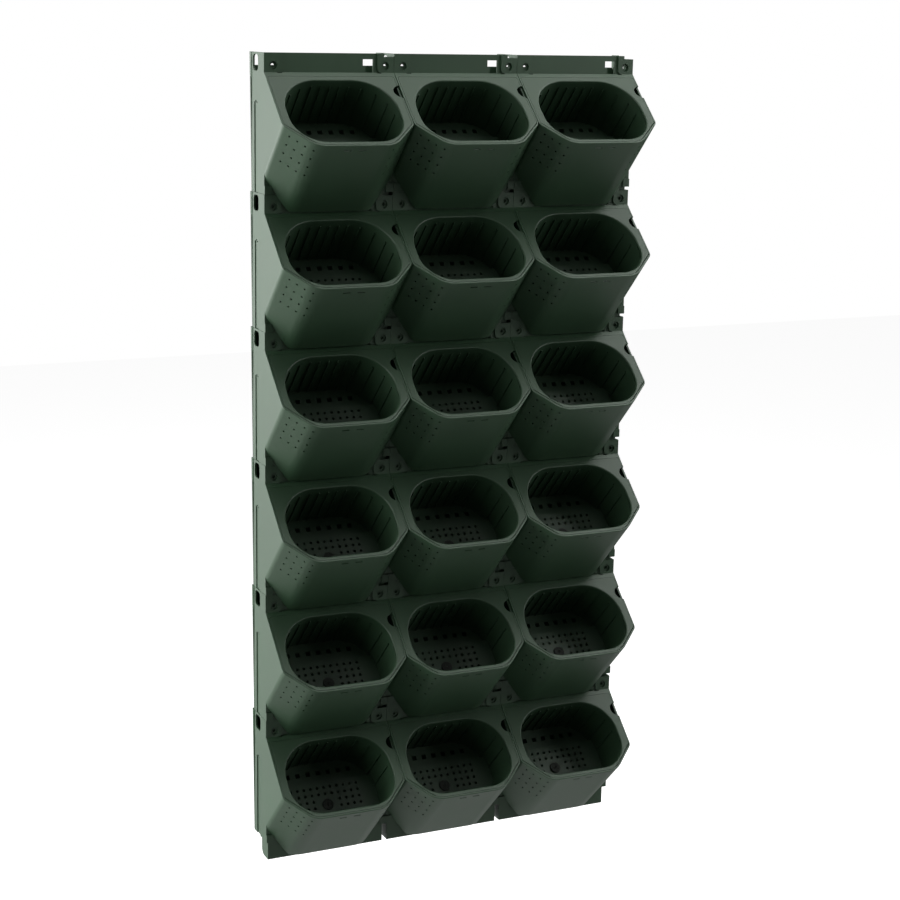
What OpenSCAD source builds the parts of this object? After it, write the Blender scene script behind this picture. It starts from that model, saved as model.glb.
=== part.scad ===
// Self-watering wall planter: a grid of clipped pocket modules, each with a lift-out liner and a felt wick.
// The front faces -Y and the wall is at +Y. The origin is midway between the two outer screw holes of the
// top row, on the seats of their heads. One module is drawn from its own corner: x runs across it, y = 0 is
// the front of its panel and z = 0 is the top edge of its sloping face.

/* [Array] */
// Modules side by side
columns = 3; // [1:1:4]
// Modules one above another
rows = 6; // [1:1:8]
// Spacing of the modules, across and down
pitch = 165; // [155:1:175]
// Gap between neighbouring modules
module_gap = 0.4; // [0.3:0.1:0.8]

/* [Shell] */
// Wall of the moulded shell
wall = 2.2; // [1.8:0.1:2.6]
// Depth of a module from its panel to the building's wall, at its top
depth_top = 52; // [50:1:60]
// The same depth at its foot
depth_foot = 47; // [45:1:50]
// Height of the flange above the sloping face
flange_h = 22.8; // [20:0.2:28]
// Slope of the open face below level
face_tilt = 42; // [40:1:45]
// Length along the side that each front corner of the pocket cuts off at 45 degrees
corner_leg = 33.4; // [30:0.2:35]
// Radius between that corner and the front
corner_r = 30; // [24:1:34]
// Radius between that corner and the side
crease_r = 10; // [7:1:12]
// How far the pocket's front plane passes below the next row's face
front_drop = 4; // [3:0.5:5]
// Height at which the skirt stops above the next row's face
skirt_gap = 1.5; // [1:0.5:3]
// Thickness of the reservoir floor
floor_t = 2.2; // [1.8:0.1:3]

/* [Flange] */
// Width of the raised pads at both ends of the flange
pad_w = 21.5; // [18:0.5:26]
// Height of the pads over the middle of the flange
pad_t = 2; // [1:0.5:3]
// Radius of the pads' lower corners
pad_r = 5; // [2:1:8]
// Distance of a screw hole from the module's side
screw_x = 11.5; // [10:0.5:13]
// Height of a screw hole over the sloping face
screw_z = 8; // [7:0.5:12]
// Diameter of the screw holes
screw_d = 4.5; // [4:0.5:6]
// Diameter of the recess for the screw's head
head_d = 10; // [8:0.5:12]
// Width of the step at the right end of the flange's top
step_w = 13; // [10:1:16]
// Drop of that step
step_h = 4; // [2:0.5:6]
// Depth of the step along the top of the right side wall
step_d = 24; // [16:1:30]
// Further depth over which that wall slopes up to its full height
step_run = 14; // [8:1:20]
// Left side of the latch window
latch_x = 125.4; // [118:0.2:130]
// Width of the latch window
latch_w = 13.2; // [10:0.2:16]
// Foot of the square part of the latch window
latch_z = 7.4; // [6:0.2:9]
// Top of the latch window
latch_top = 15.7; // [13:0.2:17]
// Width of the narrow slot below the square part
latch_slot = 9.9; // [8:0.1:11]

/* [Tongue] */
// Thickness of the tongue and its side returns
tongue_t = 2.2; // [1.8:0.1:2.6]
// Length of the tongue below the panel
tongue_h = 26; // [20:1:28]
// Depth of the tongue's side returns
tongue_d = 23; // [16:1:26]
// Gap around the tongue, latch and rib where they fit the next module
tongue_gap = 0.5; // [0.4:0.1:1.2]
// Radius of the returns' rear lower corner
tongue_r = 8; // [4:1:10]
// Further inset of the tongue on its left
tongue_inset = 1; // [0:0.5:3]

/* [Side walls] */
// Front of the window in the side wall
window_y = 21; // [16:1:24]
// Width of that window
window_w = 18; // [12:1:20]
// Foot of the side window over the sloping face
window_z = 1; // [0:0.5:4]
// Height of the side window
window_h = 19; // [14:1:20]
// Radius of the side window's corners
window_r = 5; // [3:1:7]
// Front of the groove in the left side wall
groove_y = 23; // [20:1:26]
// Width of the groove
groove_w = 12; // [8:1:14]
// Depth of the groove
groove_t = 1.2; // [0.8:0.1:1.4]
// Distance of the groove's upper end below the sloping face's top edge
groove_top = 35; // [25:1:50]
// Diameter of the vent at the head of the groove
vent_d = 4; // [3:0.5:5]
// Height of the ledge across the foot of the panel
ledge_h = 10; // [6:0.5:12]
// How far that ledge stands off the panel
ledge_t = 1.8; // [1:0.2:2.4]
// Width of the ledge on each side of a module joint
ledge_w = 9; // [6:0.5:12]

/* [Back cover] */
// Thickness of the back cover
cover_t = 2.8; // [2:0.2:3.4]
// Distance of the cover's top below the sloping face's top edge
cover_drop = 5; // [4:1:12]
// Gap between the cover and the shell
cover_gap = 0.3; // [0.2:0.1:0.5]

/* [Mouth] */
// Rim beside the mouth
rim_side = 12.1; // [10:0.1:16]
// Rim above the mouth
rim_top = 13.2; // [12:0.1:18]
// Rim in front of the mouth
rim_front = 7.4; // [6.6:0.1:12]
// Radius of the mouth's two upper corners
mouth_top_r = 48; // [36:1:49]
// Radius of the mouth's two front corners
mouth_front_r = 39; // [37:1:42]

/* [Liner] */
// Wall of the liner
liner_wall = 1.8; // [1.4:0.1:2.2]
// Thickness of the liner's flange
liner_flange = 2.4; // [2:0.1:3]
// Gap around the liner's flange
seat_gap = 0.35; // [0.3:0.05:0.7]
// Gap under the liner's flange
rest_gap = 0.3; // [0.2:0.1:0.5]
// Width of the ledge that the flange rests on
seat_w = 1.8; // [1.6:0.1:2.2]
// Top of the liner's seat, down the sloping face
seat_top = 6.2; // [6:0.1:7]
// Gap between the liner's rear edge and the back cover
rear_gap = 1; // [0.6:0.2:4]
// Extra depth of the strip along the back of the floor
strip_drop = 6; // [3:0.5:7]
// Lower edge of that strip, down the sloping face
strip_edge = 43; // [34:1:50]
// Radius of the half-round finger notch at the module's right edge
notch_r = 10; // [6:0.5:10.5]
// Place of the finger notch down the sloping face
notch_at = 31.5; // [24:0.1:34]
// Depth of the hollow in the side wall beside the finger notch
notch_t = 3; // [2:0.5:5]
// Height of the ribs inside the liner
rib_t = 1.4; // [0.8:0.1:2]
// Spacing of the ribs across the back of the liner
rib_step = 12; // [9:1:16]
// Distance of the ribs' upper ends below the mouth
rib_drop = 10; // [4:1:20]
// Spacing of the holes in the liner's floor
hole_step = 9; // [8:0.5:12]
// Diameter of the round holes in the liner's floor
hole_d = 3.6; // [2.5:0.1:4.5]
// Side of the square holes in the strip
square_hole = 6; // [4:0.5:7]
// Spacing of the square holes
square_step = 14; // [12:1:18]

/* [Watering] */
// Diameter of the felt wick
wick_d = 8; // [6:0.5:10]
// Diameter of the wick's head
wick_head_d = 15; // [12:0.5:18]
// Thickness of the wick's head
wick_head_t = 1.8; // [1:0.2:2.4]
// Gap between the wick's end and the reservoir's floor or cover
wick_float = 3; // [1:0.5:8]
// Gap around the wick in the liner's floor
wick_gap = 0.3; // [0.2:0.1:0.5]
// Place of the wick down the pocket, square to the slide
wick_v = 75; // [72:1:80]
// Bore of the overflow pipe
pipe_d = 6; // [5:0.5:8]
// Wall of the overflow pipe
pipe_wall = 1.8; // [1.4:0.1:2.2]
// Height of the overflow pipe over the reservoir floor
pipe_h = 8; // [5:0.5:8.5]
// Distance of the overflow pipe behind the panel
pipe_y = 20; // [14:1:24]
// Distance of the overflow pipe from the module's left side
pipe_x = 115; // [105:1:125]

/* [Air holes] */
// Diameter of the air holes through the two front corners
air_d = 2.6; // [2:0.1:3.2]
// Distance of the first column of air holes from the corner's side edge
air_side = 12; // [8:0.5:13]
// Spacing of the air holes across a corner
air_step = 10.8; // [9:0.2:11.2]
// Spacing of the air holes along the pocket
air_rise = 14.3; // [12:0.1:16]
// Distance of the first row below the lip
air_drop = 11.5; // [8:0.5:13]

/* [Front slots] */
// Length of the two slots under the lip
slot_l = 9.5; // [6:0.5:12]
// Height of the slots
slot_h = 2; // [1.5:0.1:3]
// Distance of the slots below the lip
slot_drop = 8; // [6:0.5:12]
// Bridge between the two slots
slot_bridge = 9; // [5:1:14]

/* [Hidden] */
$fn = 64;

// The liner lifts out along this angle, up and towards the front
slide_tilt = 45;
skew = slide_tilt - face_tilt;
over = 1;
far = 2 * pitch;

// Ends of a module
side_x = module_gap / 2;
body_w = pitch - module_gap;
head_z = flange_h - module_gap / 2;
foot_z = flange_h - pitch + module_gap / 2;
floor_z = foot_z + floor_t;
skirt_z = skirt_gap - pitch;
flange_back = pad_t + wall;
cover_z = -cover_drop;
air_count = 4;

// The pocket, measured square to the slide
front_v = (pitch + front_drop) * sin(slide_tilt);
inner_x = side_x + wall;
inner_w = pitch - 2 * inner_x;
gutter_v = seat_top - wall;
seat_v = front_v - wall - seat_top;
mouth_w = pitch - 2 * rim_side;
mouth_h = front_v - rim_front - rim_top;
lip_s = front_v / cos(skew);
lip_w = -lip_s * sin(skew);

// The liner's floor, its rear strip reaching back to the cover
back_slope = (depth_top - depth_foot) / (head_z - foot_z);
liner_v = rim_top - liner_wall;
liner_reach = (depth_foot - cover_t - rear_gap + liner_v * cos(slide_tilt)
    - back_slope * (foot_z + liner_v * sin(slide_tilt))) / (sin(slide_tilt) + back_slope * cos(slide_tilt));
liner_depth = liner_reach - strip_drop - liner_wall;

// The wick, from the liner's floor to just over the reservoir's, and clear of the back cover
wick_x = pitch / 2;
wick_foot = min(
    (-floor_z - wick_float) / sin(slide_tilt) - wick_v - wick_d / 2,
    (depth_foot - cover_t - wick_float) / sin(slide_tilt) + wick_v - wick_d / 2
);

// Colours of the four materials
shell_colour = [0.16, 0.25, 0.18];
liner_colour = [0.19, 0.29, 0.21];
cover_colour = [0.13, 0.20, 0.15];
felt_colour = [0.16, 0.16, 0.15];

// Height of a plane that lies along the slide, v below the module's corner, at a distance y behind the panel
function z_on(v, y) = -(v + y * cos(slide_tilt)) / sin(slide_tilt);
// Depth of the module's back at height z
function back_y(z) = depth_foot + back_slope * (z - foot_z);

// Puts a module in its place in the array
module placed(r, c) {
    translate([(c - 1) * pitch - columns * pitch / 2, -pad_t, -(r - 1) * pitch - screw_z]) children();
}

// x across, y down the pocket square to the slide, z into the pocket along the slide
module along_slide() {
    rotate([180 + slide_tilt, 0, 0]) children();
}

// x across, y down the sloping face, z into the pocket square to the face
module on_face() {
    rotate([180 + face_tilt, 0, 0]) children();
}

// A side view, drawn as [y, z] points, run across the module
module across(x, w, points) {
    translate([x, 0, 0]) rotate([90, 0, 90]) linear_extrude(w) polygon(points);
}

// What a rounded corner leaves over in the square round it
module corner_waste(r) {
    difference() {
        translate([-over, -over]) square(r + over);
        translate([r, r]) circle(r);
    }
}

// What the pocket's front corner leaves over, drawn in by inset: a 45 degree cut, rounded on to the front,
// and on the outside on to the side too
module pocket_corner_waste(inset) {
    leg = corner_leg - (2 - sqrt(2)) * inset;
    front_r = corner_r - inset;
    side_r = inset > 0 ? 0 : crease_r;
    front_x = leg + (sqrt(2) - 1) * front_r;
    side_y = leg + (sqrt(2) - 1) * side_r;
    difference() {
        polygon(concat(
            [[-over, -over], [front_x, -over], [front_x, 0]],
            [[front_x - front_r / sqrt(2), front_r - front_r / sqrt(2)]],
            side_r > 0 ? [[side_r - side_r / sqrt(2), side_y - side_r / sqrt(2)]] : [],
            [[0, side_y], [-over, side_y]]
        ));
        translate([front_x, front_r]) circle(front_r);
        if (side_r > 0) translate([side_r, side_y]) circle(side_r);
    }
}

// A plate from the corner [0, 0] in the pocket's outline, drawn in by inset
module pocket_plate(w, h, top_r, inset) {
    difference() {
        square([w, h]);
        for (side = [0, 1]) translate([side * w, 0]) mirror([side, 0]) {
            if (top_r > 0) corner_waste(top_r);
            translate([0, h]) mirror([0, 1]) pocket_corner_waste(inset);
        }
    }
}

// A plate from the corner [0, 0] with its own radii at the top and at the front
module rounded_plate(w, h, top_r, front_r) {
    difference() {
        square([w, h]);
        for (side = [0, 1]) translate([side * w, 0]) mirror([side, 0]) {
            if (top_r > 0) corner_waste(top_r);
            translate([0, h]) mirror([0, 1]) corner_waste(front_r);
        }
    }
}

module pocket_outline() {
    translate([side_x, 0]) pocket_plate(body_w, front_v, 0, 0);
}

// The shell's inside, or the hole through the seat's ledge when it is drawn in by inset
module seat_outline(inset = 0) {
    translate([inner_x + inset, seat_top + inset])
        pocket_plate(inner_w - 2 * inset, seat_v - 2 * inset, 3, wall + inset);
}

module mouth_outline(grow = 0) {
    translate([rim_side - grow, rim_top - grow])
        rounded_plate(mouth_w + 2 * grow, mouth_h + 2 * grow, mouth_top_r + grow, mouth_front_r + grow);
}

// Ribs that stand in from the liner's back wall and its two upper corners
module rib_outline() {
    for (x = [wick_x - 2 * rib_step : rib_step : wick_x + 2 * rib_step])
        translate([x - rib_t / 2, rim_top - over]) square([rib_t, rib_t + over]);
    for (side = [-1, 1], turn = [20 : 22 : 90])
        translate([wick_x + side * (mouth_w / 2 - mouth_top_r), rim_top + mouth_top_r])
            rotate(-90 + side * turn)
                translate([mouth_top_r - rib_t, -rib_t / 2]) square([rib_t + over, rib_t]);
}

// Side box with its flange, pocket and skirt, before it is hollowed out
module shell_block() {
    across(side_x, body_w, [
        [0, foot_z], [0, head_z], [back_y(head_z), head_z], [back_y(cover_z), cover_z],
        [back_y(cover_z) - cover_t - cover_gap, cover_z],
        [back_y(foot_z) - cover_t - cover_gap, foot_z]
    ]);
    intersection() {
        along_slide() translate([0, 0, -pitch / 4]) linear_extrude(far) pocket_outline();
        across(0, pitch, [
            [0, 0], [-far * cos(face_tilt), -far * sin(face_tilt)], [-far, skirt_z], [0, skirt_z],
            [0, foot_z], [wall, foot_z], [wall, -wall]
        ]);
    }
    for (x = [side_x, pitch - side_x - ledge_w])
        translate([x, -ledge_t, foot_z]) cube([ledge_w, ledge_t + over, ledge_h]);
    translate([pitch - side_x - over, groove_y + tongue_gap, foot_z])
        cube([over + groove_t - side_x, groove_w - 2 * tongue_gap, -foot_z - groove_top - tongue_gap]);
}

// Inside of the pocket above the reservoir floor, and the open skirt below
module pocket_space() {
    difference() {
        along_slide() translate([0, 0, -pitch / 4]) linear_extrude(far) seat_outline();
        translate([-over, -far, foot_z]) cube([pitch + 2 * over, 2 * far, floor_t]);
    }
}

// Inside of the box behind the panel
module box_space() {
    intersection() {
        along_slide() translate([inner_x, seat_top, -pitch / 4]) cube([inner_w, far, far]);
        translate([0, wall, floor_z]) cube([pitch, far, far]);
    }
}

// The open gutter behind the flange that takes the tongue of the module above
module gutter_space() {
    across(inner_x, inner_w, [
        [flange_back, z_on(gutter_v, flange_back)], [far, z_on(gutter_v, far)], [far, far], [flange_back, far]
    ]);
}

module flange_cuts() {
    translate([0, pad_t, 0]) rotate([90, 0, 0]) linear_extrude(pad_t + over) {
        translate([pad_w, 0]) square([pitch - 2 * pad_w, pitch]);
        translate([pad_w, 0]) mirror([1, 0]) corner_waste(pad_r);
        translate([pitch - pad_w, 0]) corner_waste(pad_r);
    }
    across(pitch - step_w, pitch, [
        [-over, head_z - step_h], [step_d, head_z - step_h], [step_d + step_run, head_z],
        [step_d + step_run, head_z + over], [-over, head_z + over]
    ]);
    translate([latch_x, -over, latch_z]) cube([latch_w, flange_back + 2 * over, latch_top - latch_z]);
    translate([latch_x + latch_w - latch_slot, -over, 0]) cube([latch_slot, flange_back + 2 * over, latch_z + over]);
    for (x = [screw_x, pitch - screw_x]) translate([x, 0, screw_z]) rotate([-90, 0, 0]) {
        translate([0, 0, -over]) cylinder(h = flange_back + 2 * over, d = screw_d);
        translate([0, 0, -over]) cylinder(h = pad_t + over, d = head_d);
    }
}

module side_cuts() {
    translate([-over, window_y, window_z]) rotate([90, 0, 90])
        linear_extrude(pitch + 2 * over) rounded_plate(window_w, window_h, window_r, window_r);
    translate([-over, groove_y, foot_z - over])
        cube([over + side_x + groove_t, groove_w, over - foot_z - groove_top]);
    translate([-over, groove_y + groove_w / 2, -groove_top])
        rotate([0, 90, 0]) cylinder(h = inner_x + 2 * over, d = vent_d);
}

// Air holes in rows and columns, square to each front corner's 45 degree wall
module air_holes() {
    for (side = [0, 1]) translate([side * pitch, 0, 0]) mirror([side, 0, 0])
        along_slide() translate([side_x, front_v - corner_leg, lip_w + air_drop]) rotate([0, 0, 45])
            for (i = [0 : air_count - 1], j = [0 : air_count - 1])
                translate([air_side + i * air_step, -2 * wall - over, j * air_rise]) rotate([-90, 0, 0])
                    cylinder(h = 2 * (wall + over), d = air_d);
}

module front_cuts() {
    for (side = [-1, 1])
        along_slide() translate([
            pitch / 2 + side * (slot_bridge + slot_l) / 2 - slot_l / 2, front_v - wall - over, lip_w + slot_drop
        ]) cube([slot_l, wall + 2 * over, slot_h]);
}

// Ledge all round the pocket, on which the liner's flange rests, open beside the finger notch
module seat_ledge() {
    difference() {
        on_face() translate([inner_x - wall / 2, seat_top - wall / 2, liner_flange + rest_gap])
            linear_extrude(wall) pocket_plate(inner_w + wall, seat_v + wall, 3, wall / 2);
        along_slide() translate([0, 0, -pitch / 4]) linear_extrude(far) {
            seat_outline(seat_w);
            mouth_outline(liner_wall + seat_gap);
        }
        on_face() translate([pitch / 2, notch_at - notch_r, 0]) cube([pitch, 2 * notch_r, far]);
    }
}

// Shallow hollow in the right side wall that carries the finger notch on to the module's edge
module notch_hollow() {
    on_face() translate([pitch, notch_at, -over]) cylinder(h = notch_t + over, r = notch_r);
}

// Tongue that hangs below the box and slots in behind the next module's flange
module tongue() {
    front = flange_back + tongue_gap;
    left = inner_x + tongue_gap + tongue_inset;
    right = pitch - inner_x - tongue_gap;
    translate([left, front, foot_z - tongue_h]) cube([right - left, tongue_t, tongue_h + floor_t / 2]);
    for (x = [left, right - tongue_t])
        translate([x, front, foot_z - tongue_h]) rotate([90, 0, 90]) linear_extrude(tongue_t) difference() {
            square([tongue_d, tongue_h + floor_t / 2]);
            translate([tongue_d, 0]) mirror([1, 0]) corner_waste(tongue_r);
        }
    translate([latch_x + latch_w - latch_slot + tongue_gap, pad_t / 2, skirt_z + tongue_gap])
        cube([latch_slot - 2.5 * tongue_gap, front - pad_t / 2 + over, latch_top - skirt_gap - 2 * tongue_gap]);
}

module overflow_pipe() {
    translate([pipe_x, pipe_y, foot_z]) cylinder(h = floor_t + pipe_h, d = pipe_d + 2 * pipe_wall);
}

module pocket_shell() {
    difference() {
        union() {
            difference() {
                shell_block();
                pocket_space();
                box_space();
                gutter_space();
                flange_cuts();
                side_cuts();
                front_cuts();
                air_holes();
                notch_hollow();
            }
            seat_ledge();
            tongue();
            overflow_pipe();
        }
        translate([pipe_x, pipe_y, foot_z - over]) cylinder(h = floor_t + pipe_h + 2 * over, d = pipe_d);
        along_slide() translate([pipe_x, gutter_v - over, (depth_foot - 2 * pipe_d) / sin(slide_tilt)])
            rotate([-90, 0, 0]) cylinder(h = wall + 2 * over, d = pipe_d);
    }
}

module liner_floor_holes() {
    strip_v = rim_top + (strip_edge - rim_top) / 2;
    translate([0, 0, liner_depth - over]) {
        for (i = [-5 : 5], j = [0 : 6]) {
            v = strip_edge + (j + 0.9) * hole_step;
            x = wick_x + i * hole_step;
            if (v < rim_top + mouth_h - hole_d * 2 && norm([x - wick_x, v - wick_v]) > wick_head_d / 2 + hole_d)
                translate([x, v, 0]) cylinder(h = liner_wall + 2 * over, d = hole_d);
        }
        for (i = [-3 : 3])
            translate([wick_x + i * square_step - square_hole / 2, strip_v - square_hole / 2, 0])
                cube([square_hole, square_hole, strip_drop + liner_wall + 2 * over]);
        translate([wick_x, wick_v, 0]) cylinder(h = liner_wall + 2 * over, d = wick_d + 2 * wick_gap);
    }
}

module liner() {
    difference() {
        union() {
            on_face() translate([inner_x + seat_gap, seat_top + seat_gap, 0]) linear_extrude(liner_flange)
                pocket_plate(inner_w - 2 * seat_gap, seat_v - 2 * seat_gap, 3, wall + seat_gap);
            along_slide() {
                linear_extrude(liner_depth + liner_wall) mouth_outline(liner_wall);
                linear_extrude(liner_depth + strip_drop + liner_wall) intersection() {
                    mouth_outline(liner_wall);
                    square([pitch, strip_edge + liner_wall]);
                }
            }
        }
        along_slide() {
            translate([0, 0, -pitch / 4]) linear_extrude(pitch / 4 + rib_drop) mouth_outline();
            linear_extrude(liner_depth) difference() {
                mouth_outline();
                rib_outline();
            }
            linear_extrude(liner_depth + strip_drop) difference() {
                intersection() {
                    mouth_outline();
                    square([pitch, strip_edge]);
                }
                rib_outline();
            }
            liner_floor_holes();
        }
        on_face() translate([pitch, notch_at, -over]) cylinder(h = liner_flange + 2 * over, r = notch_r);
    }
}

module wick() {
    along_slide() translate([wick_x, wick_v, 0]) {
        translate([0, 0, liner_depth - wick_head_t]) cylinder(h = wick_head_t, d = wick_head_d);
        translate([0, 0, liner_depth - over]) cylinder(h = wick_foot - liner_depth + over, d = wick_d);
    }
}

// Flat cover that closes the back of the reservoir, below the open gutter
module back_cover() {
    top = cover_z - cover_gap;
    across(side_x, body_w, [
        [back_y(foot_z), foot_z], [back_y(top), top], [back_y(top) - cover_t, top], [back_y(foot_z) - cover_t, foot_z]
    ]);
}

module back_covers(r) {
    for (c = [1 : columns]) placed(r, c) back_cover();
}

for (r = [1 : rows], c = [1 : columns]) {
    color(shell_colour) placed(r, c) pocket_shell();
    color(liner_colour) placed(r, c) liner();
    color(felt_colour) placed(r, c) wick();
}
for (r = [1 : rows])
    color(cover_colour) back_covers(r);
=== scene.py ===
import math

import bmesh
import bpy
import numpy as np
from mathutils import Matrix, Vector


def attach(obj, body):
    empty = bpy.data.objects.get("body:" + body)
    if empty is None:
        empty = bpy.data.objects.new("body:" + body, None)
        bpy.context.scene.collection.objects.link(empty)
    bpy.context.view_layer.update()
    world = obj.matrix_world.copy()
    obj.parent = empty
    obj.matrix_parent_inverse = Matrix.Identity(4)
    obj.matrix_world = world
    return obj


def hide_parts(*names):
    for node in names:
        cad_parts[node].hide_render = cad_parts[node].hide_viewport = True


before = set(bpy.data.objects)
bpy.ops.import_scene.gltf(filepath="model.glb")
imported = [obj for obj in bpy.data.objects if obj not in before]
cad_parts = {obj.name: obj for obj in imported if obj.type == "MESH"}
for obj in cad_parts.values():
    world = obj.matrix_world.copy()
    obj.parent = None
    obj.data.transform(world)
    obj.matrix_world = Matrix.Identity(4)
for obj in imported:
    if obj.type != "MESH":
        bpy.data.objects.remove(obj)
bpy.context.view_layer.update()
scene = bpy.context.scene
print("frame loaded,", len(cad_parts), "solids")

# How the modules stand, as in the solids, in metres and radians

array = {
    "rows": 6,
    "columns": 3,
    "pitch": 0.165,
    "padHeight": 0.002,
    "screwHeight": 0.008,
    "faceTilt": math.radians(42),
}


def modulePlace(row, column):
    # A module's own corner: the top edge of its sloping face, at its left side
    x = (column - 1 - array["columns"] / 2) * array["pitch"]
    z = -(row - 1) * array["pitch"] - array["screwHeight"]
    return np.array([x, -array["padHeight"], z])


def modules():
    return [(r, c) for r in range(1, array["rows"] + 1) for c in range(1, array["columns"] + 1)]


firstPlace = modulePlace(1, 1)

# Shader parts

toneSpan = (0.35, 0.65)


def addNode(tree, kind, **inputs):
    node = tree.nodes.new(kind)
    for name, value in inputs.items():
        node.inputs[name.replace("_", " ")].default_value = value
    return node


def addMath(tree, operation, first, second):
    # A sum node whose inputs are numbers or other nodes' outputs
    node = tree.nodes.new("ShaderNodeMath")
    node.operation = operation
    for socket, value in zip(node.inputs, (first, second)):
        if isinstance(value, (int, float)):
            socket.default_value = value
        else:
            tree.links.new(value, socket)
    return node.outputs[0]


def newMaterial(name):
    material = bpy.data.materials.new(name)
    material.use_nodes = True
    return material, material.node_tree, material.node_tree.nodes["Principled BSDF"]


def addNoise(tree, inputs):
    # A noise that is fixed to the object
    noise = addNode(tree, "ShaderNodeTexNoise", **inputs)
    place = tree.nodes.new("ShaderNodeTexCoord")
    tree.links.new(place.outputs["Object"], noise.inputs["Vector"])
    return noise.outputs["Fac"]


def paintTones(tree, shader, noise, low, high):
    # The shader's colour goes from one tone to the other with the noise
    tone = tree.nodes.new("ShaderNodeValToRGB")
    for element, position, colour in zip(tone.color_ramp.elements, toneSpan, (low, high)):
        element.position = position
        element.color = (*colour, 1)
    tree.links.new(noise, tone.inputs["Fac"])
    tree.links.new(tone.outputs["Color"], shader.inputs["Base Color"])


def raiseGrain(tree, shader, noise, strength, height):
    bump = addNode(tree, "ShaderNodeBump", Strength=strength, Distance=height)
    tree.links.new(noise, bump.inputs["Height"])
    tree.links.new(bump.outputs["Normal"], shader.inputs["Normal"])


# Moulded plastic, and a near-black finish for the seam groove, which is painted shade that darkens the gap

greens = {
    "shell": {"colour": (0.0165, 0.0445, 0.0197), "pale": (0.0187, 0.0497, 0.0223), "roughness": 0.52},
    "liner": {"colour": (0.0150, 0.0395, 0.0178), "pale": (0.0170, 0.0440, 0.0201), "roughness": 0.54},
    "cover": {"colour": (0.0140, 0.0330, 0.0165), "pale": (0.0160, 0.0375, 0.0185), "roughness": 0.58},
    # The seam's near-black colour is painted shade, standing in for the shade inside the groove
    "seam": {"colour": (0.006, 0.008, 0.006), "pale": (0.008, 0.010, 0.008), "roughness": 0.75},
    "specular": 0.5,
    "clouds": {"Scale": 14.0, "Detail": 4.0},
    "grain": {"Scale": 1500.0, "Detail": 2.0},
    "grainHeight": 0.00002,
    "roughnessDrift": 0.04,
}


def plasticMaterial(name, look):
    # Cloudy two-tone green, a roughness that drifts with the same clouds, and the mould's fine grain
    material, tree, shader = newMaterial(name)
    shader.inputs["Specular IOR Level"].default_value = greens["specular"]
    clouds = addNoise(tree, greens["clouds"])
    paintTones(tree, shader, clouds, look["colour"], look["pale"])
    polish = addNode(tree, "ShaderNodeMapRange", To_Min=look["roughness"] - greens["roughnessDrift"],
                     To_Max=look["roughness"] + greens["roughnessDrift"])
    tree.links.new(clouds, polish.inputs["Value"])
    tree.links.new(polish.outputs["Result"], shader.inputs["Roughness"])
    raiseGrain(tree, shader, addNoise(tree, greens["grain"]), 1.0, greens["grainHeight"])
    return material


# Felt

felt = {
    "light": (0.026, 0.032, 0.026),
    "dark": (0.011, 0.014, 0.011),
    "fibres": {"Scale": 900.0, "Detail": 5.0, "Distortion": 2.5},
    "fuzzStrength": 0.8,
    "fuzzHeight": 0.0004,
    "roughness": 0.95,
    "sheen": 0.1,
}


def feltMaterial(name):
    # Pressed fibres: long thin flecks of two tones that also stand up as a fine fuzz
    material, tree, shader = newMaterial(name)
    shader.inputs["Roughness"].default_value = felt["roughness"]
    shader.inputs["Sheen Weight"].default_value = felt["sheen"]
    fibres = addNoise(tree, felt["fibres"])
    paintTones(tree, shader, fibres, felt["dark"], felt["light"])
    raiseGrain(tree, shader, fibres, felt["fuzzStrength"], felt["fuzzHeight"])
    return material


finishes = {
    "shell": plasticMaterial("shellPlastic", greens["shell"]),
    "liner": plasticMaterial("linerPlastic", greens["liner"]),
    "cover": plasticMaterial("coverPlastic", greens["cover"]),
    # The seam finish is painted shade: a near-black colour put in the groove where the gap's shade falls
    "seam": plasticMaterial("seamPaintedShade", greens["seam"]),
    "felt": feltMaterial("wickFelt"),
}
print("materials made")

# Softened copies of the moulded solids

edges = {
    "join": 0.000002,
    "flat": math.radians(0.5),
    "sharp": math.radians(25),
    "radius": 0.00035,
    "steps": 2,
    "rimRadius": 0.0010,
    "mouthRadius": 0.0018,
    "lipSteps": 4,
}
# The liner's mouth in its module, across and down the sloping face, how near that face's plane a lip lies,
# how far down the face the rim starts, and how far a wall at least faces away from up
mouth = {
    "left": 0.0115,
    "right": 0.1535,
    "top": 0.0125,
    "front": 0.1135,
    "pocketMiddle": 0.062,
    "planeSlack": 0.00005,
    "rimStart": 0.001,
    "wallFacing": 0.5,
}


def inModule(vertex):
    # A point of the first module, as across, down the sloping face, and below it
    x, y, z = np.array(vertex.co) - firstPlace
    sine = math.sin(array["faceTilt"])
    cosine = math.cos(array["faceTilt"])
    return x, -cosine * y - sine * z, sine * y - cosine * z


def lipPlace(edge):
    # The middle of an edge that lies in the sloping face's plane, or None
    ends = [inModule(v) for v in edge.verts]
    if max(abs(e[2]) for e in ends) > mouth["planeSlack"]:
        return None
    return np.mean(ends, axis=0)


def isMouthEdge(edge):
    middle = lipPlace(edge)
    if middle is None:
        return False
    return mouth["left"] < middle[0] < mouth["right"] and mouth["top"] < middle[1] < mouth["front"]


def isRimEdge(edge):
    # The rim's outer edge: the wall beside it faces away from the pocket's middle
    middle = lipPlace(edge)
    if middle is None or middle[1] < mouth["rimStart"]:
        return False
    away = np.array([middle[0] - array["pitch"] / 2, middle[1] - mouth["pocketMiddle"]])
    slope = math.cos(array["faceTilt"]), math.sin(array["faceTilt"])
    for face in edge.link_faces:
        across, out, up = face.normal
        down = -slope[0] * out - slope[1] * up
        if abs(across) + abs(down) > mouth["wallFacing"]:
            return across * away[0] + down * away[1] > 0
    return False


def sharpEdges(work):
    return [e for e in work.edges if e.calc_face_angle(0) > edges["sharp"]]


def roundEdges(work, picked, radius, steps, clamp):
    bmesh.ops.bevel(work, geom=picked, offset=radius, segments=steps, profile=0.5, affect="EDGES",
                    clamp_overlap=clamp)


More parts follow.
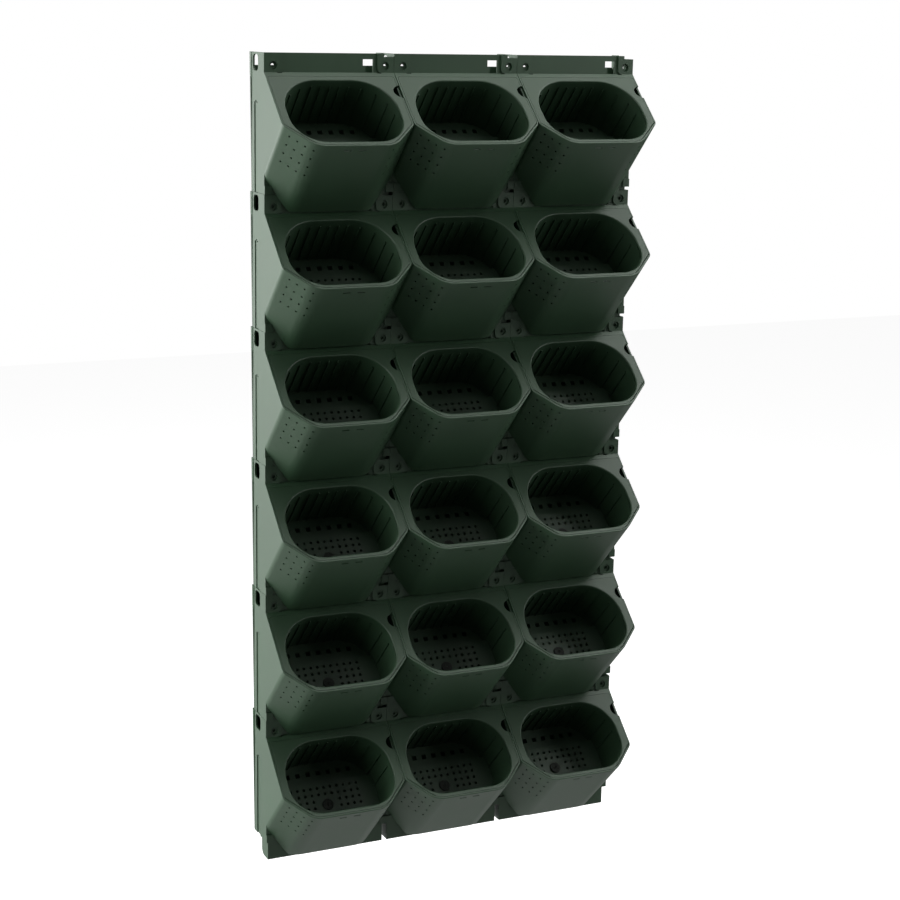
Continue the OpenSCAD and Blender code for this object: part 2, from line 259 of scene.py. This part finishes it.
def smoothMesh(name, work):
    mesh = bpy.data.meshes.new(name)
    work.to_mesh(mesh)
    work.free()
    mesh.shade_smooth()
    return mesh


def softenedMesh(node, isLip=None, lipRadius=0.0):
    # The solid's triangles joined at their corners, flat neighbours made one face, and each sharp edge
    # turned over a small radius. Lips are turned over a larger one first.
    work = bmesh.new()
    work.from_mesh(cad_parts[node].data)
    bmesh.ops.remove_doubles(work, verts=work.verts, dist=edges["join"])
    bmesh.ops.dissolve_limit(work, angle_limit=edges["flat"], verts=work.verts, edges=work.edges)
    if isLip:
        picked = [e for e in sharpEdges(work) if isLip(e)]
        roundEdges(work, picked, lipRadius, edges["lipSteps"], False)
        print(node, "lip edges", len(picked))
    roundEdges(work, sharpEdges(work), edges["radius"], edges["steps"], True)
    return smoothMesh(node, work)


def addPiece(name, mesh, body, node, slotName, *coats):
    # A finished piece rides on its body, and stands for its solid if it has one
    piece = bpy.data.objects.new(name, mesh)
    scene.collection.objects.link(piece)
    mesh.materials.clear()
    for coat in coats:
        mesh.materials.append(coat)
    normals = piece.modifiers.new("normals", "WEIGHTED_NORMAL")
    normals.keep_sharp = True
    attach(piece, body)
    if node:
        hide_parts(node)


def shiftedCopy(mesh, offset):
    copy = mesh.copy()
    copy.transform(Matrix.Translation(offset))
    return copy


# The seam of the back cover, a groove cut along the left side wall next to its back edge. Its faces are
# painted near-black, as painted shade in the groove

seam = {
    "start": 0.0050,
    "width": 0.0060,
    "depth": 0.0014,
    "backTop": 0.050,
    "top": 0.0146,
    "slope": 0.005 / 0.1646,
    "facing": 0.99,
    "wallSlack": 0.0003,
    "cutSlack": 0.000001,
}


def wallFaces(work):
    # The outside of the left side wall
    side = min(v.co.x for v in work.verts)
    return [f for f in work.faces if abs(f.normal.x) > seam["facing"]
            and abs(f.calc_center_median().x - side) < seam["wallSlack"]]


def cutSeam(mesh):
    # Two cuts in line with the module's sloping back, and the wall's strip between them sunk in. The strip's
    # own faces stay behind when it is moved, so they are deleted.
    work = bmesh.new()
    work.from_mesh(mesh)
    backEdge = Vector((0, seam["backTop"], seam["top"]))
    along = Vector((0, -seam["slope"], 1)).normalized()
    normal = Vector((0, along.z, -along.y))
    start = seam["start"]
    end = start + seam["width"]
    for back in (start, end):
        around = {part for f in wallFaces(work) for part in (f, *f.edges, *f.verts)}
        bmesh.ops.bisect_plane(work, geom=list(around), dist=seam["cutSlack"], plane_no=normal,
                               plane_co=Vector((0, seam["backTop"] - back, seam["top"])))
    strip = [f for f in wallFaces(work) if start < (backEdge - f.calc_center_median()).dot(normal) < end]
    sunk = bmesh.ops.extrude_face_region(work, geom=strip)
    moved = [v for v in sunk["geom"] if isinstance(v, bmesh.types.BMVert)]
    # The groove's faces take the second finish, a near-black that paints the groove's shade
    for vertex in moved:
        for face in vertex.link_faces:
            face.material_index = 1
    bmesh.ops.translate(work, verts=moved, vec=(seam["depth"], 0, 0))
    bmesh.ops.delete(work, geom=strip, context="FACES_ONLY")
    work.to_mesh(mesh)
    work.free()
    print("seam faces", len(strip))


shellMesh = softenedMesh("pocket_shell_r1c1", isRimEdge, edges["rimRadius"])
cutSeam(shellMesh)
linerMesh = softenedMesh("liner_r1c1", isMouthEdge, edges["mouthRadius"])
coverMesh = softenedMesh("back_cover_r1")
for row, column in modules():
    tag = f"r{row}c{column}"
    offset = modulePlace(row, column) - firstPlace
    # Shells take the green plastic, and the near-black painted-shade finish in their seam groove
    addPiece(f"pocketShell_{tag}", shiftedCopy(shellMesh, offset), "root", f"pocket_shell_{tag}",
             "shell", finishes["shell"], finishes["seam"])
    addPiece(f"liner_{tag}_basket", shiftedCopy(linerMesh, offset), f"basket_{tag}", f"liner_{tag}",
             "liner", finishes["liner"])
for row in range(1, array["rows"] + 1):
    offset = modulePlace(row, 1) - firstPlace
    addPiece(f"backCover_r{row}", shiftedCopy(coverMesh, offset), "root", f"back_cover_r{row}",
             "cover", finishes["cover"])
print("faces of a shell, a liner and a row of covers:",
      len(shellMesh.polygons), len(linerMesh.polygons), len(coverMesh.polygons))

# Low wall at the back of each gutter, which darkens the windows

# In the top row it stays low, so that water can be poured in
gutterWall = {
    "left": 0.0027,
    "right": 0.1623,
    "foot": -0.0047,
    "low": 0.0070,
    "high": 0.0224,
    "front": 0.0475,
    "thickness": 0.0018,
    "cornerRadius": 0.0030,
    "cornerSteps": 6,
    "ribs": (0.030, 0.0825, 0.135),
    "ribWidth": 0.0018,
    "ribDepth": 0.0008,
    "softness": 0.0003,
}


def addPlate(work, outline, front, thickness):
    # An outline in x and z, made as thick as that towards the back
    face = work.faces.new([work.verts.new((x, front, z)) for x, z in outline])
    raised = bmesh.ops.extrude_face_region(work, geom=[face], use_keep_orig=True)
    ends = [v for v in raised["geom"] if isinstance(v, bmesh.types.BMVert)]
    bmesh.ops.translate(work, verts=ends, vec=(0, thickness, 0))


def gutterWallMesh(top):
    # A plate with round upper corners, and three upright ribs on its back
    work = bmesh.new()
    left = gutterWall["left"]
    right = gutterWall["right"]
    foot = gutterWall["foot"]
    radius = gutterWall["cornerRadius"]
    turns = np.linspace(0, np.pi / 2, gutterWall["cornerSteps"])
    outline = [(left, foot), (right, foot)]
    outline += [(right - radius + radius * math.cos(t), top - radius + radius * math.sin(t)) for t in turns]
    outline += [(left + radius - radius * math.sin(t), top - radius + radius * math.cos(t)) for t in turns]
    addPlate(work, outline, gutterWall["front"], gutterWall["thickness"])
    ribStart = gutterWall["thickness"] - gutterWall["softness"]
    foot += radius / 2
    head = top - radius / 2
    for middle in gutterWall["ribs"]:
        low = middle - gutterWall["ribWidth"] / 2
        high = middle + gutterWall["ribWidth"] / 2
        addPlate(work, [(low, foot), (high, foot), (high, head), (low, head)],
                 gutterWall["front"] + ribStart, gutterWall["ribDepth"])
    bmesh.ops.recalc_face_normals(work, faces=work.faces)
    roundEdges(work, sharpEdges(work), gutterWall["softness"], edges["steps"], True)
    return smoothMesh("gutterWall", work)


lowWall = gutterWallMesh(gutterWall["low"])
highWall = gutterWallMesh(gutterWall["high"])
for row, column in modules():
    wallMesh = lowWall if row == 1 else highWall
    addPiece(f"gutterWall_r{row}c{column}", shiftedCopy(wallMesh, modulePlace(row, column)), "root", None,
             "shell", finishes["shell"])
print("gutter walls set")

# Felt wicks

# Each wave goes so many times round, from a shift, and so many radians a metre along, from a shift
wick = {
    "across": 0.0825,
    "down": 0.075,
    "headTop": 0.0663,
    "headRadius": 0.0075,
    "headThickness": 0.0018,
    "radius": 0.0040,
    "foot": 0.1145,
    "edge": 0.0006,
    "core": 0.0001,
    "wear": 0.03,
    "waves": ((5, 1, 900, 0), (11, 0, 2300, 1)),
    "turns": 72,
    "edgeSteps": 5,
    "headSteps": 6,
    "stemSteps": 40,
    "footSteps": 5,
}


def wickProfile():
    # Places along the wick and distances from its axis, from the head's middle to the foot's
    top = wick["headTop"]
    under = top + wick["headThickness"]
    foot = wick["foot"]
    head = wick["headRadius"]
    stem = wick["radius"]
    soft = wick["edge"]
    corner = np.linspace(0, np.pi / 2, wick["edgeSteps"])
    outward = soft * (1 - np.sin(corner))
    inward = soft * (1 - np.cos(corner))
    along = np.concatenate([
        np.full(wick["headSteps"], top), top + inward, under - outward, [under],
        np.linspace(under, foot - soft, wick["stemSteps"]), foot - outward, np.full(wick["footSteps"], foot),
    ])
    away = np.concatenate([
        np.linspace(wick["core"], head - soft, wick["headSteps"]), head - outward, head - inward, [stem],
        np.full(wick["stemSteps"], stem), stem - inward,
        np.linspace(stem - soft, wick["core"], wick["footSteps"]),
    ])
    return along, away


def wickMesh():
    # The profile turned round the wick's axis. The distance is cut back a little by waves round the wick and
    # along it, so that the felt looks pressed and uneven.
    along, away = wickProfile()
    turn = np.arange(wick["turns"]) * 2 * np.pi / wick["turns"]
    waves = len(wick["waves"])
    for timesRound, roundShift, timesAlong, alongShift in wick["waves"]:
        waves = waves + (np.sin(timesRound * turn + roundShift)[:, None]
                         * np.sin(along * timesAlong + alongShift)[None, :])
    distance = away[None, :] * (1 - wick["wear"] * waves / (2 * len(wick["waves"])))
    across = wick["across"] + distance * np.cos(turn)[:, None]
    down = wick["down"] + distance * np.sin(turn)[:, None]
    deep = np.broadcast_to(along[None, :], down.shape)
    diagonal = math.sqrt(0.5)
    points = np.stack([across, diagonal * (deep - down), -diagonal * (deep + down)], -1) + firstPlace
    count = len(along)
    total = wick["turns"] * count
    first = (np.arange(wick["turns"])[:, None] * count + np.arange(count - 1)[None, :]).ravel()
    beside = (first + count) % total
    quads = np.stack([first, beside, beside + 1, first + 1], -1)
    caps = [list(range(0, total, count)), list(range(total - 1, 0, -count))]
    mesh = bpy.data.meshes.new("wick")
    mesh.from_pydata(points.reshape(-1, 3).tolist(), [], quads.tolist() + caps)
    mesh.shade_smooth()
    return mesh


feltMesh = wickMesh()
for row, column in modules():
    tag = f"r{row}c{column}"
    addPiece(f"wick_{tag}_felt", shiftedCopy(feltMesh, modulePlace(row, column) - firstPlace),
             f"basket_{tag}", f"wick_{tag}", "felt", finishes["felt"])
print("wicks set")

# Studio

# Each lamp has its place, the point it looks at, the width of its disc and its power
studio = {
    "lamps": {
        "keyBack": ((-2.6, 0.8, 0.2), (0, 0, -0.5), 1.4, 62.0),
        "keySide": ((-2.8, -0.4, 0.3), (0, 0, -0.5), 1.4, 36.0),
        "keyFront": ((-2.4, -1.6, 0.6), (0, 0, -0.5), 1.4, 3.0),
        "leftBack": ((-1.5, 2.2, -0.9), (-0.2, 0, -0.5), 2.4, 10.7),
        "leftBackFar": ((-2.6, 2.0, -0.2), (-0.2, 0, -0.5), 2.0, 104.0),
        "over": ((0.0, -0.1, 1.8), (0, -0.1, -0.3), 1.4, 16.5),
        "overFront": ((0.2, -1.2, 1.8), (0, 0, -0.3), 1.4, 12.0),
        "overRight": ((1.6, -0.3, 1.4), (0, 0, -0.3), 1.4, 32.0),
        "rightFront": ((2.2, -1.6, 0.2), (0, 0, -0.5), 1.4, 21.0),
        "rightSide": ((2.4, -0.5, 0.0), (0, 0, -0.5), 1.0, 10.0),
    },
    "frontSky": 0.13,
    "floorHeight": -1.62,
    "floorSize": 14.0,
    "floorColour": (0.50, 0.50, 0.50),
    "floorRoughness": 0.9,
    "floorGlow": 0.94,
}


def addLamp(name, place, aim, size, power):
    light = bpy.data.lights.new(name, "AREA")
    light.shape = "DISK"
    light.size = size
    light.energy = power
    lamp = bpy.data.objects.new(name, light)
    scene.collection.objects.link(lamp)
    lamp.location = place
    lamp.rotation_euler = (Vector(aim) - Vector(place)).to_track_quat("-Z", "Y").to_euler()
    lamp.visible_camera = False


def seenDirect(tree):
    # 1 for rays that come straight or through clear matter from the camera
    path = tree.nodes.new("ShaderNodeLightPath")
    return addMath(tree, "MAXIMUM", path.outputs["Is Camera Ray"], path.outputs["Is Transmission Ray"])


def buildSky():
    # A weak light from the front, which fades to the sides. The camera sees plain white.
    world = bpy.data.worlds.new("studio")
    scene.world = world
    world.use_nodes = True
    tree = world.node_tree
    parts = tree.nodes.new("ShaderNodeSeparateXYZ")
    tree.links.new(tree.nodes.new("ShaderNodeTexCoord").outputs["Generated"], parts.inputs[0])
    facing = addMath(tree, "MAXIMUM", addMath(tree, "MULTIPLY", parts.outputs["Y"], -1.0), 0.0)
    front = addMath(tree, "MULTIPLY", addMath(tree, "POWER", facing, 2.0), studio["frontSky"])
    blend = tree.nodes.new("ShaderNodeMapRange")
    tree.links.new(seenDirect(tree), blend.inputs["Value"])
    tree.links.new(front, blend.inputs["To Min"])
    tree.links.new(blend.outputs["Result"], tree.nodes["Background"].inputs["Strength"])
    tree.nodes["Background"].inputs["Color"].default_value = (1, 1, 1, 1)


def floorMaterial():
    # Paint that takes shadows, and a glow that only the camera sees, which makes it as white as the sky
    material, tree, shader = newMaterial("floorPaint")
    shader.inputs["Base Color"].default_value = (*studio["floorColour"], 1)
    shader.inputs["Roughness"].default_value = studio["floorRoughness"]
    glow = tree.nodes.new("ShaderNodeEmission")
    both = tree.nodes.new("ShaderNodeAddShader")
    tree.links.new(addMath(tree, "MULTIPLY", seenDirect(tree), studio["floorGlow"]), glow.inputs["Strength"])
    tree.links.new(shader.outputs[0], both.inputs[0])
    tree.links.new(glow.outputs[0], both.inputs[1])
    tree.links.new(both.outputs[0], tree.nodes["Material Output"].inputs["Surface"])
    return material


def buildFloor():
    half = studio["floorSize"] / 2
    low = studio["floorHeight"]
    corners = [(-half, -half, low), (half, -half, low), (half, half, low), (-half, half, low)]
    mesh = bpy.data.meshes.new("floor")
    mesh.from_pydata(corners, [], [(0, 1, 2, 3)])
    mesh.materials.append(floorMaterial())
    floor = bpy.data.objects.new("floor", mesh)
    scene.collection.objects.link(floor)


for name, settings in studio["lamps"].items():
    addLamp(name, *settings)
buildSky()
buildFloor()
print("studio set")

# Camera, from the fit of the modules' corners in the photo

view = {
    "place": (-0.994778, -2.156049, 0.056237),
    "yaw": 0.433039,
    "pitch": -0.221981,
    "roll": 0.018749,
    "focalPixels": 1908.60,
    "widthPixels": 900,
    "sensorWidth": 36,
    "reach": 50,
}


def cameraTurn():
    # Right, up and back of the camera as columns, and its place
    yaw = view["yaw"]
    pitch = view["pitch"]
    roll = view["roll"]
    forward = np.array([math.sin(yaw) * math.cos(pitch), math.cos(yaw) * math.cos(pitch), math.sin(pitch)])
    level = np.array([math.cos(yaw), -math.sin(yaw), 0])
    upright = np.cross(level, forward)
    turn = np.eye(4)
    turn[:3, 0] = math.cos(roll) * level + math.sin(roll) * upright
    turn[:3, 1] = math.cos(roll) * upright - math.sin(roll) * level
    turn[:3, 2] = -forward
    turn[:3, 3] = view["place"]
    return Matrix(turn.tolist())


lens = bpy.data.cameras.new("camera")
lens.lens = view["focalPixels"] / view["widthPixels"] * view["sensorWidth"]
lens.sensor_width = view["sensorWidth"]
lens.clip_end = view["reach"]
camera = bpy.data.objects.new("camera", lens)
scene.collection.objects.link(camera)
camera.matrix_world = cameraTurn()
scene.camera = camera
scene.view_settings.view_transform = "Standard"
print("camera set")
